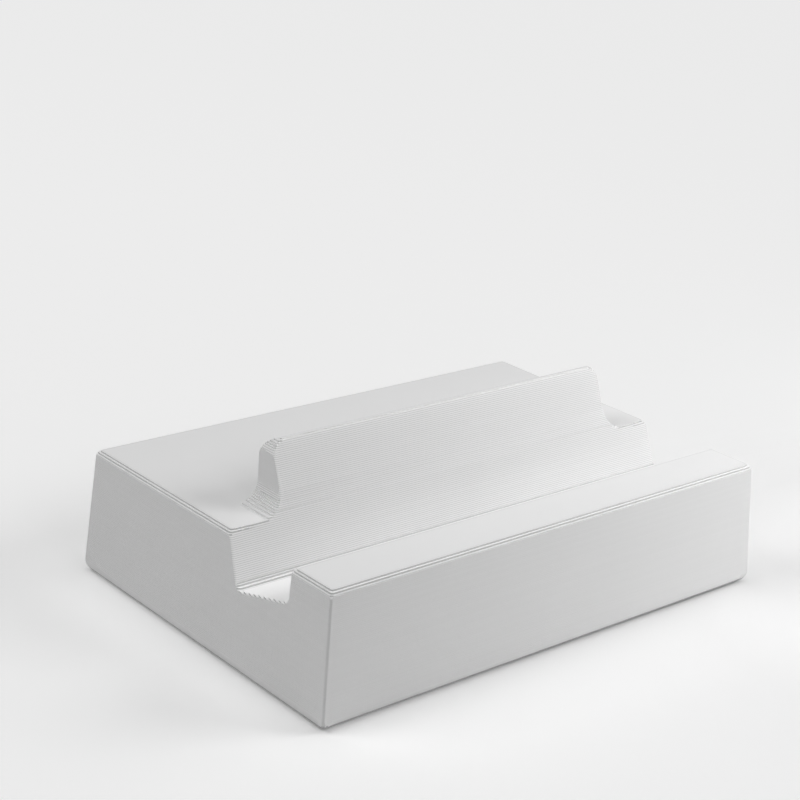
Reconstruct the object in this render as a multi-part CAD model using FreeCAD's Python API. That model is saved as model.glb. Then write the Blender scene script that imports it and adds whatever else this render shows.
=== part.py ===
import FreeCAD, Part
import math
import os
from FreeCAD import Vector

# Charging dock for a handheld game console, printed in one piece.
# Millimetres. X runs along the dock, -Y is the front, +Z is up.
# The origin is on the table, under the middle of the base.

# Body block, measured at its sharp top edges
top_length = 104.7
top_depth = 71.6
body_height = 25.0
draft = 3.6  # degrees, all four sides

# Slot that holds the console, which leans back against the slot's rear wall
console_thickness = 13.9
console_clearance = 0.4
lip_width = 10.8  # front lip, across its top
lean = 20.0  # degrees, the rear wall from the vertical
floor_tilt = 14.0  # degrees, the floor rises towards the lip
slot_depth = 9.8  # below the deck, where the floor meets the rear wall
slot_corner_round = 1.6

# Raised back support, flush with the slot's rear wall
support_width = 81.4
support_height = 12.65  # front edge of its top, above the deck
support_back = 36.3  # from the front top edge to the support's back face
crown_round = 4.2  # over the support's top, into its back face
shoulder_round = 3.2  # upper corners, seen from the front
root_round = 4.5  # flare into the deck, seen from the front

# Softened edges
top_round = 1.3  # round the deck and the lip
upright_round = 0.5  # corners, slot ends and the support's front
bottom_round = 2.3

# Passage for the charging plug, in line with the leaning console
plug_width = 12.2
plug_thickness = 6.2
plug_clearance = 0.3  # all round

# Cable channel in the underside, from the plug passage to the rear
cable_diameter = 4.5
cable_clearance = 0.5  # all round
channel_depth = 8.0

tool_margin = 5.0  # how far a cutting tool stands past the body
tolerance = 0.001

# Body, Y from the middle of the base
draft_run = body_height * math.tan(math.radians(draft))
base_length = top_length + 2 * draft_run
base_depth = top_depth + 2 * draft_run
front_base_y = -base_depth / 2
rear_base_y = base_depth / 2
front_top_y = -top_depth / 2
rear_top_y = top_depth / 2

# Slot's section: the console just clears the lip's upright wall as it rests on the leaning one
lean_angle = math.radians(lean)
tilt_slope = math.tan(math.radians(floor_tilt))
console_room = console_thickness + console_clearance
floor_run = console_room / (math.cos(lean_angle) + tilt_slope * math.sin(lean_angle))
lip_wall_y = front_top_y + lip_width
floor_rear_y = lip_wall_y + floor_run
floor_rear_z = body_height - slot_depth
floor_front_z = floor_rear_z + floor_run * tilt_slope
wall_top_y = floor_rear_y + slot_depth * math.tan(lean_angle)

# Support
support_top = body_height + support_height
support_back_y = front_top_y + support_back
support_foot = support_width / 2 + root_round  # half length at the deck
crest_y = wall_top_y + support_height * math.tan(lean_angle)
crown_y = support_back_y - crown_round
crown_top = support_top + crown_round - math.sqrt(crown_round ** 2 - (crest_y - crown_y) ** 2)

# Plug passage, on the middle of a console that rests on the rear wall
plug_up = Vector(0, math.sin(lean_angle), math.cos(lean_angle))
plug_across = Vector(0, math.cos(lean_angle), -math.sin(lean_angle))
plug_seat = Vector(0, floor_rear_y, floor_rear_z) - plug_across * (console_thickness / 2)


def wall_y(z):
    """Y of the slot's rear wall, and of the support's front, at a height."""
    return floor_rear_y + (z - floor_rear_z) * math.tan(lean_angle)


def rounded_wire(corners):
    """Closed wire through (point, radius) corners, with a tangent arc at each rounded one."""
    spans = []
    count = len(corners)
    for i, (corner, radius) in enumerate(corners):
        before = corners[i - 1][0] - corner
        after = corners[(i + 1) % count][0] - corner
        if radius == 0:
            spans.append((corner, None, corner))
            continue
        before.normalize()
        after.normalize()
        half_angle = before.getAngle(after) / 2
        reach = radius / math.tan(half_angle)
        inward = before + after
        inward.normalize()
        crest = corner + inward * (radius / math.sin(half_angle) - radius)
        spans.append((corner + before * reach, crest, corner + after * reach))
    edges = []
    for i, (start, crest, end) in enumerate(spans):
        if crest is not None:
            edges.append(Part.Arc(start, crest, end).toShape())
        following = spans[(i + 1) % count][0]
        if end.distanceToPoint(following) > tolerance:
            edges.append(Part.LineSegment(end, following).toShape())
    return Part.Wire(edges)


def side_prism(corners, length):
    """Solid of a YZ section of (y, z, radius) corners, centred along X."""
    section = [(Vector(-length / 2, y, z), radius) for y, z, radius in corners]
    return Part.Face(rounded_wire(section)).extrude(Vector(length, 0, 0))


def front_prism(corners, near_y, far_y):
    """Solid of an XZ section of (x, z, radius) corners, from one Y to another."""
    section = [(Vector(x, near_y, z), radius) for x, z, radius in corners]
    return Part.Face(rounded_wire(section)).extrude(Vector(0, far_y - near_y, 0))


def body_block():
    """Drafted block with the slot cut through from end to end."""
    section = [
        (front_base_y, 0, 0),
        (rear_base_y, 0, 0),
        (rear_top_y, body_height, 0),
        (wall_top_y, body_height, 0),
        (floor_rear_y, floor_rear_z, slot_corner_round),
        (lip_wall_y, floor_front_z, slot_corner_round),
        (lip_wall_y, body_height, 0),
        (front_top_y, body_height, 0),
    ]
    ends = [
        (-base_length / 2, 0, 0),
        (base_length / 2, 0, 0),
        (top_length / 2, body_height, 0),
        (-top_length / 2, body_height, 0),
    ]
    block = side_prism(section, base_length + 2 * tool_margin)
    return block.common(front_prism(ends, front_base_y - tool_margin, rear_base_y + tool_margin))


def back_support():
    """Support with a leaning front, a rounded crown and ends that flare into the deck."""
    half = support_width / 2
    sunk = floor_rear_z + slot_depth / 2
    outline = [
        (-support_foot, sunk, 0),
        (support_foot, sunk, 0),
        (support_foot, body_height, 0),
        (half, body_height, root_round),
        (half, support_top, shoulder_round),
        (-half, support_top, shoulder_round),
        (-half, body_height, root_round),
        (-support_foot, body_height, 0),
    ]
    crown = [
        (lip_wall_y, sunk, 0),
        (support_back_y, sunk, 0),
        (support_back_y, crown_top, crown_round),
        (lip_wall_y, crown_top, 0),
    ]
    above = support_top + tool_margin
    behind_wall = [
        (wall_y(0), 0, 0),
        (rear_base_y, 0, 0),
        (rear_base_y, above, 0),
        (wall_y(above), above, 0),
    ]
    support = front_prism(outline, lip_wall_y, rear_base_y)
    support = support.common(side_prism(crown, base_length))
    return support.common(side_prism(behind_wall, base_length))


def is_sharp(edge, solid):
    """True where the two faces at an edge meet at an angle."""
    middle = edge.valueAt((edge.FirstParameter + edge.LastParameter) / 2)
    normals = []
    for face in solid.ancestorsOfType(edge, Part.Face):
        u, v = face.Surface.parameter(middle)
        normals.append(face.normalAt(u, v))
    return normals[0].getAngle(normals[1]) > math.radians(1)


def is_softened(edge):
    """True for the body's edges and the support's front ones."""
    ends = [vertex.Point for vertex in edge.Vertexes]
    on_wall = all(abs(p.y - wall_y(p.z)) < tolerance for p in ends)
    on_support = all(abs(p.x) < support_foot + tolerance and p.z > body_height - tolerance for p in ends)
    return on_wall or not on_support


def round_for(edge):
    """Radius that an edge is softened with: underside, top or upright."""
    heights = [vertex.Point.z for vertex in edge.Vertexes]
    if max(heights) < tolerance:
        return bottom_round
    if max(heights) - min(heights) < tolerance and abs(heights[0] - body_height) < tolerance:
        return top_round
    return upright_round


def soften(solid):
    """Round the outer edges in one step, so that unequal rounds blend where they meet."""
    rounds = []
    for number, edge in enumerate(solid.Edges, 1):
        if is_softened(edge) and is_sharp(edge, solid):
            radius = round_for(edge)
            rounds.append((number, radius, radius))
    document = FreeCAD.newDocument("dock")
    block = document.addObject("Part::Feature", "Block")
    block.Shape = solid
    softened = document.addObject("Part::Fillet", "Softened")
    softened.Base = block
    softened.Edges = rounds
    document.recompute()
    return softened.Shape.Solids[0]


def plug_passage():
    """Slot-shaped hole along the plug, from the slot's floor to the underside."""
    half_width = plug_width / 2 + plug_clearance
    half_thickness = plug_thickness / 2 + plug_clearance
    top = plug_seat + plug_up * slot_depth
    corners = []
    for side, across in ((-1, -1), (1, -1), (1, 1), (-1, 1)):
        corner = top + Vector(side * half_width, 0, 0) + plug_across * (across * half_thickness)
        corners.append((corner, half_thickness))
    drop = (top.z + tool_margin) / plug_up.z
    return Part.Face(rounded_wire(corners)).extrude(plug_up * -drop)


def cable_channel():
    """Round-topped channel along the underside, from the plug passage out of the rear."""
    half = cable_diameter / 2 + cable_clearance
    start_y = plug_seat.y - plug_up.y * plug_seat.z / plug_up.z
    arch = [
        (-half, -tool_margin, 0),
        (half, -tool_margin, 0),
        (half, channel_depth, half),
        (-half, channel_depth, half),
    ]
    return front_prism(arch, start_y, rear_base_y + tool_margin)


def dock_body():
    """The whole dock as one printed solid."""
    solid = body_block().fuse(back_support()).removeSplitter()
    solid = soften(solid.Solids[0])
    solid = solid.cut(plug_passage()).cut(cable_channel())
    return solid.Solids[0]


def main():
    os.makedirs("parts", exist_ok=True)
    body = dock_body()
    body.exportStep("parts/dock_body.step")
    box = body.BoundBox
    print("dock_body %.2f x %.2f x %.2f mm" % (box.XLength, box.YLength, box.ZLength))
    print("volume %.1f cm3, valid %s, faces %d" % (body.Volume / 1000, body.isValid(), len(body.Faces)))


main()
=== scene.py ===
import bpy
import math
from mathutils import Euler, Matrix, Vector


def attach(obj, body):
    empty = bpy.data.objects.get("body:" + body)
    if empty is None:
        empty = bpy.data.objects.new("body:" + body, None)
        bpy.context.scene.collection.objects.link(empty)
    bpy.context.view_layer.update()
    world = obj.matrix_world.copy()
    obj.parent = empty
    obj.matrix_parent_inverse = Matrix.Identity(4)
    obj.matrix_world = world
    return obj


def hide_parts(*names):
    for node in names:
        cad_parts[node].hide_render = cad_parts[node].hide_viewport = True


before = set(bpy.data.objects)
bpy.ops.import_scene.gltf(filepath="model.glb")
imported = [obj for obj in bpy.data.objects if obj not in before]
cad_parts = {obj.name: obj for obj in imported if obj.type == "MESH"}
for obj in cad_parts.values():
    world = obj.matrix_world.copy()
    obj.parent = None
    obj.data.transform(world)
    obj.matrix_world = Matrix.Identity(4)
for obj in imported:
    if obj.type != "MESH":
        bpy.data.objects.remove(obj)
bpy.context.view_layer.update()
print("stage: frame loaded")


# Node values that can be added and multiplied like numbers
class NodeValue:
    def __init__(self, tree, socket):
        self.tree = tree
        self.socket = socket

    def node(self, kind, output=0, settings=None, **inputs):
        made = self.tree.nodes.new(kind)
        for name, value in (settings or {}).items():
            setattr(made, name, value)
        for name, value in inputs.items():
            number = name[1:]  # i0 and i1 are sockets by number, the rest by name
            self.feed(made.inputs[int(number) if number.isdigit() else name], value)
        return NodeValue(self.tree, made.outputs[output])

    def feed(self, slot, value):
        if isinstance(value, NodeValue):
            self.tree.links.new(value.socket, slot)
        else:
            slot.default_value = value

    def calc(self, operation, first, second=0.0):
        return self.node("ShaderNodeMath", settings={"operation": operation}, i0=first, i1=second)

    def __add__(self, other):
        return self.calc("ADD", self, other)

    def __radd__(self, other):
        return self.calc("ADD", other, self)

    def __sub__(self, other):
        return self.calc("SUBTRACT", self, other)

    def __rsub__(self, other):
        return self.calc("SUBTRACT", other, self)

    def __mul__(self, other):
        return self.calc("MULTIPLY", self, other)

    def __rmul__(self, other):
        return self.calc("MULTIPLY", other, self)

    def __truediv__(self, other):
        return self.calc("DIVIDE", self, other)

    def __rtruediv__(self, other):
        return self.calc("DIVIDE", other, self)

    def floor(self):
        return self.calc("FLOOR", self)

    def dot(self, other):
        return self.node("ShaderNodeVectorMath", "Value", {"operation": "DOT_PRODUCT"}, i0=self, i1=other)


def newMaterial(name):
    material = bpy.data.materials.new(name)
    material.use_nodes = True
    tree = material.node_tree
    shader = tree.nodes["Principled BSDF"]
    place = tree.nodes.new("ShaderNodeTexCoord")
    return material, shader, NodeValue(tree, place.outputs["Object"])


def grey(tone):
    return tone.node("ShaderNodeCombineColor", Red=tone, Green=tone, Blue=tone)


def selectOnly(piece):
    bpy.ops.object.select_all(action="DESELECT")
    piece.select_set(True)
    bpy.context.view_layer.objects.active = piece


# Printed plastic
plasticLook = {
    "tone": 0.85,  # linear grey of the plastic
    "paintedShadeTone": 0.12,  # how much a full step of painted layer light or shade adds to it
    "layerTone": 0.012,  # how much single layers differ
    "mottleTone": 0.015,
    "mottleScale": 90.0,  # per metre
    "roughness": 0.65,
    "roughnessRange": 0.1,
    "gloss": 0.1,
    "grainScale": (500.0, 500.0, 1500.0),  # per metre, finer across the layers
    "grainDepth": 0.00002,  # m
    "grainStrength": 0.25,
}


def printedPlastic(look, layerPitch):
    material, shader, place = newMaterial("printedPlastic")
    height = place.node("ShaderNodeSeparateXYZ", output="Z", Vector=place)
    layer = (height / layerPitch).floor()
    layerNoise = place.node("ShaderNodeTexWhiteNoise", settings={"noise_dimensions": "1D"}, W=layer)
    mottle = place.node("ShaderNodeTexNoise", Vector=place, Scale=look["mottleScale"], Detail=3.0) - 0.5
    stretched = place.node("ShaderNodeMapping", Vector=place, Scale=look["grainScale"])
    grain = place.node("ShaderNodeTexNoise", Vector=stretched, Scale=1.0, Detail=2.0)
    # painted light and shade of the layers, read from the mesh's corners
    paintedShade = place.node("ShaderNodeAttribute", output="Fac", settings={"attribute_name": "paintedLayerShade"})
    tone = look["tone"] + paintedShade * look["paintedShadeTone"]
    tone = tone + (layerNoise - 0.5) * look["layerTone"] + mottle * look["mottleTone"]
    bump = place.node(
        "ShaderNodeBump", Height=grain, Strength=look["grainStrength"], Distance=look["grainDepth"])
    place.feed(shader.inputs["Base Color"], grey(tone))
    place.feed(shader.inputs["Roughness"], look["roughness"] + mottle * look["roughnessRange"])
    place.feed(shader.inputs["Specular IOR Level"], look["gloss"])
    place.feed(shader.inputs["Normal"], bump)
    return material


# Printed body: the solid's surface, stepped into level layers, with painted light and shade on them
printedBody = {
    "layerCount": 73,  # from the table to the deck
    "deckHeight": 0.025,  # m
    "riserShare": 0.02,  # part of a layer's height that becomes its upright wall
    "mergeDistance": 0.00000001,  # m, only points in one place become one
    "sliverWidth": 0.00003,  # m, shorter edges of the solid's mesh shrink to a point
    "shortestEdge": 0.000001,  # m, and shorter ones of the stepped mesh
    "slopeRange": (0.2, 0.98),  # upright part of a face's normal, where single layers show, with painted light on their treads and painted shade on their upright walls
    "wallSlope": 0.45,  # below this the layers blend, as on the leaning wall
    # painted light on the level treads, as if lit from above
    "paintedTreadLight": 0.9,
    "paintedRiserShade": -1.2,  # painted shade on a layer's upright wall on the rounds
    "paintedGrooveShade": -1.7,  # painted shade at the foot of it on the leaning wall, as in the groove between layers
    "paintedEdgeLight": 0.8,  # painted light on the top of it
    "supportCounterShade": -0.5,  # evens out the layers on the support's rounds by painting them the other way: darker treads and lighter upright walls, against their lit steps
    "underSlope": (-0.02, -0.6),  # the round under the body, given painted light in place of light from the table
    # painted light on the round under the body
    "paintedUnderLight": 0.3,
    "paintedContactShadow": -2.0,  # below that, a painted contact shadow: the thin dark line at the table
    "cornerTurn": 0.35,  # upright corners, turned this far from both sides, are darkened
    "cornerDarkening": -0.35,
}


def mergePoints(piece, distance):  # merge by distance can't go below a micrometre, Weld can
    selectOnly(piece)
    bpy.ops.object.modifier_add(type="WELD")
    weld = piece.modifiers[-1]
    weld.merge_threshold = distance
    bpy.ops.object.modifier_apply(modifier=weld.name)


def shrinkEdges(piece, limit):  # takes slivers out and leaves the mesh closed
    selectOnly(piece)
    bpy.ops.object.mode_set(mode="EDIT")
    bpy.ops.mesh.select_mode(type="EDGE")
    bpy.ops.mesh.select_all(action="DESELECT")
    bpy.ops.object.mode_set(mode="OBJECT")
    mesh = piece.data
    for edge in mesh.edges:
        start, end = (mesh.vertices[number].co for number in edge.vertices)
        edge.select = (start - end).length < limit
    if any(edge.select for edge in mesh.edges):
        bpy.ops.object.mode_set(mode="EDIT")
        bpy.ops.mesh.merge(type="COLLAPSE")
        bpy.ops.object.mode_set(mode="OBJECT")


def noteSlopes(mesh):  # how far each face of the smooth solid leans and turns
    slope = mesh.attributes.new("slope", "FLOAT", "FACE")
    turn = mesh.attributes.new("turn", "FLOAT", "FACE")
    for face in mesh.polygons:
        x, y, z = face.normal
        slope.data[face.index].value = z
        turn.data[face.index].value = min(abs(x), abs(y)) / max(math.hypot(x, y), 0.001)


def cutLayers(piece, pitch, top, share):
    selectOnly(piece)
    bpy.ops.object.mode_set(mode="EDIT")
    for layer in range(math.ceil(top / pitch)):
        for side in (-0.5, 0.5):
            height = (layer + 0.5 + side * share) * pitch
            if height < top:
                bpy.ops.mesh.select_all(action="SELECT")
                bpy.ops.mesh.bisect(plane_co=(0, 0, height), plane_no=(0, 0, 1), threshold=0)
    bpy.ops.object.mode_set(mode="OBJECT")


def stepHeight(z, pitch, share, top):
    layer = math.floor(z / pitch + 0.000001)  # a point on a level belongs to the layer above
    part = z / pitch - layer
    rise = min(max((part - 0.5) / share + 0.5, 0.0), 1.0)
    return min((layer + rise) * pitch, top)


# painted light and shade for one corner of a face: lighter treads and layer tops, shaded grooves and
# upright walls, painted light under the body, a painted contact shadow at its foot
def paintedLayerShade(normal, slope, turn, layer, part, values):
    if values["slopeRange"][0] < slope < values["slopeRange"][1]:
        if normal.z > 0.5:  # a level tread, painted lighter
            shade = values["paintedTreadLight"]
        elif slope < values["wallSlope"]:
            shade = values["paintedGrooveShade"] + part * (values["paintedEdgeLight"] - values["paintedGrooveShade"])
        else:
            shade = values["paintedRiserShade"]
        # on the support's rounds the painted light and shade are turned around
        onSupportRound = layer >= values["layerCount"] and slope > values["wallSlope"]
        return shade * values["supportCounterShade"] if onSupportRound else shade
    # the lowest part of the under round gets the painted contact shadow
    if -values["slopeRange"][1] < slope < values["underSlope"][1]:
        return values["paintedContactShadow"]
    # upright corner rounds are darkened
    if turn > values["cornerTurn"]:
        return values["cornerDarkening"]
    # painted light on the round under the body, none elsewhere
    return values["paintedUnderLight"] if slope < values["underSlope"][0] else 0.0


def paintLayerShades(mesh, pitch, values):
    slopes = [item.value for item in mesh.attributes["slope"].data]
    turns = [item.value for item in mesh.attributes["turn"].data]
    shades = mesh.attributes.new("paintedLayerShade", "FLOAT", "CORNER")
    solidNormals = mesh.attributes.get("custom_normal")  # kept only where the layers blend
    for face in mesh.polygons:
        slope = slopes[face.index]
        turn = turns[face.index]
        face.use_smooth = values["slopeRange"][0] < slope < values["wallSlope"]
        heights = [mesh.vertices[number].co.z / pitch for number in face.vertices]
        layer = math.floor(sum(heights) / len(heights))
        for corner, height in zip(face.loop_indices, heights):
            part = min(max(height - layer, 0.0), 1.0)
            shades.data[corner].value = paintedLayerShade(face.normal, slope, turn, layer, part, values)
            if solidNormals and not face.use_smooth:
                solidNormals.data[corner].value = (0, 0)
    for name in ("slope", "turn"):
        mesh.attributes.remove(mesh.attributes[name])


def makePrintedBody(values):
    pitch = values["deckHeight"] / values["layerCount"]
    selectOnly(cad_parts["dock_body"])
    bpy.ops.object.duplicate()
    piece = bpy.context.active_object
    piece.name = "printedBody"
    mergePoints(piece, values["mergeDistance"])
    noteSlopes(piece.data)
    shrinkEdges(piece, values["sliverWidth"])
    top = max(point.co.z for point in piece.data.vertices)
    cutLayers(piece, pitch, top, values["riserShare"])
    for point in piece.data.vertices:
        point.co.z = stepHeight(point.co.z, pitch, values["riserShare"], top)
    shrinkEdges(piece, values["shortestEdge"])
    paintLayerShades(piece.data, pitch, values)
    piece.data.materials.clear()
    piece.data.materials.append(printedPlastic(plasticLook, pitch))
    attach(piece, "root")
    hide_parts("dock_body")
    print("stage: printed body,", len(piece.data.polygons), "faces")


makePrintedBody(printedBody)


# Soft studio lamps, and a pale sky and floor that only the camera sees at full strength
studio = {
    "backdropTone": 0.825,
    "spotTone": 0.875,  # the palest that a lamp makes the open floor
    "floorTone": 0.88,  # for the light that the floor throws back
    "shadowTone": 0.88,  # for the shadow that the camera sees on it
    "floorWidth": 4.0,  # m
    "floorDrop": 0.00003,  # m, just clear of the dock's underside
    "lamps": {  # place in m, width in m, power in W, all aimed at the dock
        "topLamp": ((0.0, 0.0, 0.5), 0.3, 0.61),
        "leftLamp": ((-0.302, 0.11, 0.383), 0.3, 0.875),
        "frontLamp": ((0.15, -0.16, 0.18), 0.14, 0.26),
        "nearLamp": ((0.15, -0.08, 0.1), 0.14, 0.078),
        "fillLamp": ((-0.1, -0.45, 0.3), 0.2, 0.21),
    },
}


def seenDirectly(tree):
    path = tree.nodes.new("ShaderNodeLightPath")
    camera, glossy, through = (
        NodeValue(tree, path.outputs[name])
        for name in ("Is Camera Ray", "Is Glossy Ray", "Is Transmission Ray"))
    return camera.calc("MINIMUM", camera + glossy + through, 1.0)


def makeSky(values):
    world = bpy.data.worlds.new("studioSky")
    bpy.context.scene.world = world
    world.use_nodes = True
    tree = world.node_tree
    sky = tree.nodes["Background"]
    seen = seenDirectly(tree)
    sky.inputs["Color"].default_value = (1, 1, 1, 1)
    seen.feed(sky.inputs["Strength"], seen * values["backdropTone"])


def makeLamp(name, place, width, power):
    bpy.ops.object.select_all(action="DESELECT")
    bpy.ops.object.light_add(type="AREA", location=place)
    lamp = bpy.context.active_object
    lamp.name = name
    lamp.data.shape = "DISK"
    lamp.data.size = width
    lamp.data.energy = power
    lamp.visible_camera = False
    lamp.rotation_euler = (-Vector(place)).to_track_quat("-Z", "Y").to_euler()


def openFloorLight(place, lamps):  # what the lamps give the floor where nothing stands in their way
    light = 0.0
    for lampPlace, width, power in lamps.values():
        way = place.node("ShaderNodeVectorMath", 0, {"operation": "SUBTRACT"}, i0=lampPlace, i1=place)
        height = way.dot((0, 0, 1))
        facing = way.dot(Vector(lampPlace).normalized())
        reach = way.dot(way)  # squared distance
        light = light + power / math.pi ** 2 * height * facing / (reach * (reach + width ** 2 / 4))
    return light


def makeFloor(values):
    bpy.ops.object.select_all(action="DESELECT")
    bpy.ops.mesh.primitive_plane_add(size=values["floorWidth"], location=(0, 0, -values["floorDrop"]))
    floor = bpy.context.active_object
    floor.name = "floor"
    material, shader, place = newMaterial("floorPaper")
    seen = seenDirectly(material.node_tree)
    light = openFloorLight(place, values["lamps"])
    shown = light.calc("MINIMUM", values["spotTone"] / light, values["shadowTone"])
    tone = values["floorTone"] + seen * (shown - values["floorTone"])
    lift = seen * light.calc("MAXIMUM", values["backdropTone"] - shown * light, 0.0)
    place.feed(shader.inputs["Base Color"], grey(tone))
    place.feed(shader.inputs["Emission Color"], grey(lift))
    place.feed(shader.inputs["Emission Strength"], 1.0)
    place.feed(shader.inputs["Roughness"], 1.0)
    place.feed(shader.inputs["Specular IOR Level"], 0.0)
    floor.data.materials.append(material)


makeSky(studio)
makeFloor(studio)
for lampName, (lampPlace, lampWidth, lampPower) in studio["lamps"].items():
    makeLamp(lampName, lampPlace, lampWidth, lampPower)
print("stage: light and floor")


# Camera of the photo
view = {
    "place": (-0.2251, -0.2445, 0.1570),  # m
    "heading": -41.484,  # degrees
    "elevation": 19.981,
    "roll": 3.976,
    "lens": 84.03,  # mm
    "sensorWidth": 36.0,  # mm
    "nearest": 0.01,  # m
}


def makeCamera(values):
    turn = Euler((math.radians(90 - values["elevation"]), 0, math.radians(values["heading"]))).to_matrix()
    turn = turn @ Matrix.Rotation(math.radians(values["roll"]), 3, "Z")
    bpy.ops.object.camera_add(location=values["place"], rotation=turn.to_euler())
    camera = bpy.context.active_object
    camera.data.lens = values["lens"]
    camera.data.sensor_width = values["sensorWidth"]
    camera.data.clip_start = values["nearest"]
    bpy.context.scene.camera = camera


makeCamera(view)
bpy.context.scene.view_settings.view_transform = "Standard"
print("stage: camera")
